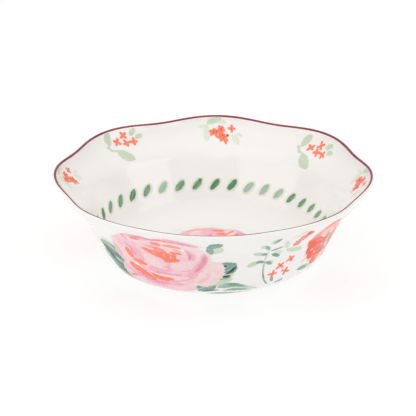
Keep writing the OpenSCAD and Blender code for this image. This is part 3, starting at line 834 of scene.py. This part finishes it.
recess = [[FOOT_IN - FOOT_TAPER, FOOT_H - 0.4], [FOOT_IN - FOOT_TAPER - 0.5, FOOT_H], [0, FOOT_H]]
clay_path = np.concatenate([
    skin_clay,
    [[FOOT_R + 0.05, FOOT_H - 0.35]],
    foot_corner(FOOT_OUT, 1),
    foot_corner(FOOT_IN, -1)[::-1],
    recess,
])
finish(turned_piece("fired_clay", [clay_path]), "bowl_body", clay)

foot_side = np.array([
    [FOOT_R + 0.3, FOOT_H - 0.35],
    [FOOT_R - 0.1, FOOT_H - 1.2],
    [FOOT_OUT + 0.12, DRY_EDGE + 0.2],
])
foot_side_in = np.array([[FOOT_OUT - 0.1, DRY_EDGE], [FOOT_R - 0.3, FOOT_H - 0.8], [FOOT_R, FOOT_H - 0.1]])
coat = np.concatenate([skin_glaze, foot_side, foot_side_in, skin_clay[::-1]])
coat[0, 0] = 0
recess_glaze = np.array([
    [0, FOOT_H - GLAZE_T], [FOOT_IN - 2.2, FOOT_H - GLAZE_T], [FOOT_IN - 1.2, FOOT_H - 0.55],
    [FOOT_IN - 0.55, DRY_EDGE + 0.3], [FOOT_IN - 0.3, DRY_EDGE + 0.1], [FOOT_IN - 0.2, DRY_EDGE + 0.4],
    [FOOT_IN - FOOT_TAPER, FOOT_H - 0.3], [FOOT_IN - 1.2, FOOT_H + 0.05], [0, FOOT_H + 0.05],
])[::-1]
finish(turned_piece("glaze", [coat, recess_glaze]), "glaze_coat", glaze)


def rim_line():
    """The enamel line over the rim: a thin closed band whose edges waver as a brush's do."""
    steps = 12
    x = np.linspace(0, 360, ROUND * 2 + 1)[:-1]
    radius = LIP_T / 2 + GLAZE_T
    turn = np.radians(x)
    start = 92 + 3 * np.sin(turn * 3 + 1) + 3 * np.sin(turn * 11) + 6 * (noise(x / 4, x * 0, 3) - 0.5)
    stop = 193 + 4 * np.sin(turn * 2) + 4 * np.sin(turn * 13 + 2) + 6 * (noise(x / 5, x * 0, 4) - 0.5)
    share = np.linspace(0, 1, steps)
    lift = PAINT_LIFT + 0.07 * np.sqrt(np.clip(np.sin(math.pi * share), 0, 1))
    rows = []
    for k in range(steps):
        rows.append((start + (stop - start) * share[k], radius + lift[k]))
    for k in reversed(range(steps)):
        rows.append((start + (stop - start) * share[k], radius - 0.05))
    points = []
    for degrees, r in rows:
        flat = crest(r, degrees)
        points.append(lobed(flat[:, 0], flat[:, 1], x))
    count = len(x)
    points = np.concatenate(points)
    k = np.arange(count)
    nxt = (k + 1) % count
    quads = []
    for i in range(len(rows)):
        j = (i + 1) % len(rows)
        quads.append(np.stack([i * count + k, i * count + nxt, j * count + nxt, j * count + k], axis=-1))
    piece = mesh_object("rim_enamel", points, np.concatenate(quads))
    depth = noise(x / 3, x * 0, 8) * 0.6 + noise(x * 1.7, x * 0, 9) * 0.4
    colour = WINE * (1 - depth[:, None]) + DARK_WINE * depth[:, None]
    cover = np.concatenate([np.clip(np.sin(math.pi * share) * 5, 0.6, 1), np.ones(steps)])
    paint = np.concatenate([np.concatenate([colour, np.full((count, 1), c)], axis=1) for c in cover])
    layer = piece.data.color_attributes.new("paint", "FLOAT_COLOR", "POINT")
    layer.data.foreach_set("color", paint.astype(np.float32).reshape(-1))
    return piece


enamel = make_enamel("painted_enamel")
finish(rim_line(), "rim_line", enamel)

# ---- the transfers ----

SPRIG_S = inside.length - 12
WALL_S = outside.length * 0.56
PEONY_ANGLE = -111
POPPY_ANGLE = -27
FERN_ANGLES = [-64, 4, 116, 184]
SPRIGS = [(6, 1), (45, -1.2), (89.5, 0), (129.5, 2), (174, 1.5), (219, 0), (270, 0), (321, 0)]   # angle, lift

for number, (angle, lift) in enumerate(SPRIGS, 1):
    painter = cluster_sprig if number % 2 else loose_sprig
    piece = transfer(f"sprig_{number}", inside, angle, SPRIG_S + lift, 40, 31, FINE_STEP, painter,
                     1000 + 70 * number)
    finish(piece, f"rim_sprig_{number}", enamel)
for number in (1, 2):
    turn = 180 * (number - 1)
    piece = transfer(f"peony_{number}", outside, PEONY_ANGLE + turn, WALL_S, 132, 82, WIDE_STEP,
                     outer_peony, 2000 + 500 * number)
    finish(piece, f"outer_peony_{number}", enamel)
    piece = transfer(f"poppy_{number}", outside, POPPY_ANGLE + turn, WALL_S + 4, 84, 68, WIDE_STEP,
                     outer_poppy, 4000 + 500 * number)
    finish(piece, f"outer_poppy_{number}", enamel)
for number, angle in enumerate(FERN_ANGLES, 1):
    painter = outer_fern if number % 2 else fern_spray
    piece = transfer(f"fern_{number}", outside, angle, WALL_S, 64, 80, FINE_STEP, painter,
                     6000 + 200 * number)
    finish(piece, f"outer_fern_{number}", enamel)


def ring_place(x, y):
    """Where a point of the leaf band lies: unevenly round the ring, which sits lower towards +X."""
    s0 = np.interp(BAND_R, inside.path[:, 0], inside.s)
    turn = np.degrees(x / BAND_R) - 180 / BAND_LEAVES
    angle = BAND_START + turn + BAND_CROWDING * (1 - np.cos(np.radians(turn)))
    return angle, s0 + y - BAND_ASKEW * np.cos(np.radians(angle))


band_x, band_y = np.meshgrid(np.linspace(0, 2 * math.pi * BAND_R, 1480), np.linspace(-7, 7, 40))
band = shell("leaf_band", band_x, band_y, ring_place, inside, lambda canvas: leaf_band(canvas, 8000),
             flip=True)
finish(band, "leaf_band_decal", enamel)


def floor_place(x, y):
    """Where a point of the floor flower lies, as an angle and a length out from the middle."""
    return np.degrees(np.arctan2(y, x)), np.hypot(x, y)


floor_x, floor_y = flat_grid(118, 118, WIDE_STEP)
flower = shell("floor_peony", floor_x, floor_y, floor_place, inside, lambda canvas: floor_peony(canvas, 9000),
               flip=False)
finish(flower, "floor_peony_decal", enamel)

# ---- floor, light and camera ----


FLOOR_GREY = 0.3                           # the floor is dull and gives off light, so that it stays white
FLOOR_GLOW = 0.72


def make_floor():
    """A plain white studio floor."""
    nodes = Nodes("studio_floor")
    nodes.shader.inputs["Base Color"].default_value = (FLOOR_GREY, FLOOR_GREY, FLOOR_GREY, 1)
    nodes.shader.inputs["Roughness"].default_value = 0.9
    nodes.shader.inputs["Specular IOR Level"].default_value = 0.0
    nodes.shader.inputs["Emission Color"].default_value = (1, 1, 1, 1)
    nodes.shader.inputs["Emission Strength"].default_value = FLOOR_GLOW
    return nodes.material


def make_stage():
    """The floor's square, 24 m across, under the bowl."""
    size = 12.0
    mesh = bpy.data.meshes.new("studio_floor")
    corners = [(-size, -size, 0), (size, -size, 0), (size, size, 0), (-size, size, 0)]
    mesh.from_pydata(corners, [], [(0, 1, 2, 3)])
    floor = bpy.data.objects.new("studio_floor", mesh)
    bpy.context.scene.collection.objects.link(floor)
    mesh.materials.append(make_floor())


def softbox(name, place, width, height, power):
    """A soft rectangular light turned to the bowl, in metres and watts."""
    light = bpy.data.lights.new(name, "AREA")
    light.shape = "RECTANGLE"
    light.size = width
    light.size_y = height
    light.energy = power
    lamp = bpy.data.objects.new(name, light)
    lamp.location = place
    lamp.rotation_euler = (LIT_POINT - Vector(place)).to_track_quat("-Z", "Y").to_euler()
    bpy.context.scene.collection.objects.link(lamp)


CAMERA_MM = 3390.0                         # from the camera to the point it looks at
CAMERA_UP = 22.8                           # degrees above the table
CAMERA_TURN = -88.2
VIEW_MM = 300.435                          # width of the picture at that point
RIM_RIGHT_MM = 3.828                       # the rim's middle stands this far right of the picture's middle
RIM_UP_MM = 23.472                         # and this far above it


def make_camera():
    """A long lens, as product shots are taken, a little above the table and in front of the bowl."""
    elevation = math.radians(CAMERA_UP)
    azimuth = math.radians(CAMERA_TURN)
    distance = CAMERA_MM * MM
    camera = bpy.data.cameras.new("camera")
    camera.sensor_width = 36
    camera.lens = camera.sensor_width * CAMERA_MM / VIEW_MM
    camera.clip_end = 100
    view = bpy.data.objects.new("camera", camera)
    toward = Vector((math.cos(elevation) * math.cos(azimuth), math.cos(elevation) * math.sin(azimuth),
                     math.sin(elevation)))
    right = Vector((-math.sin(azimuth), math.cos(azimuth), 0))
    up = toward.cross(right)
    target = Vector((0, 0, BOWL_H * MM)) - right * (RIM_RIGHT_MM * MM) - up * (RIM_UP_MM * MM)
    view.location = target + toward * distance
    view.rotation_euler = toward.to_track_quat("Z", "Y").to_euler()
    bpy.context.scene.collection.objects.link(view)
    bpy.context.scene.camera = view


SKY_LOW = 0.50                             # brightness of the sky at the horizon
SKY_HIGH = 1.14                            # and overhead
LIT_POINT = Vector((0, 0, 0.04))           # the lights are turned to the middle of the bowl


def make_world():
    """A plain studio sky, brighter overhead than at the horizon."""
    world = bpy.data.worlds.new("studio")
    world.use_nodes = True
    tree = world.node_tree
    sky = tree.nodes["Background"]
    sky.inputs["Color"].default_value = (1.0, 0.99, 0.975, 1)
    where = tree.nodes.new("ShaderNodeTexCoord")
    split = tree.nodes.new("ShaderNodeSeparateXYZ")
    height = tree.nodes.new("ShaderNodeMapRange")
    height.inputs["To Min"].default_value = SKY_LOW
    height.inputs["To Max"].default_value = SKY_HIGH
    tree.links.new(where.outputs["Generated"], split.inputs["Vector"])
    tree.links.new(split.outputs["Z"], height.inputs["Value"])
    tree.links.new(height.outputs["Result"], sky.inputs["Strength"])
    bpy.context.scene.world = world


make_stage()
make_world()
softbox("window_left", (-1.2, -0.78, 0.73), 1.7, 0.7, 3.1)
softbox("window_right", (1.28, -0.46, 0.85), 1.2, 0.6, 2.5)
softbox("window_high", (-0.6, -1.0, 1.6), 2.0, 1.0, 2.4)
make_camera()
bpy.context.scene.view_settings.view_transform = "Standard"
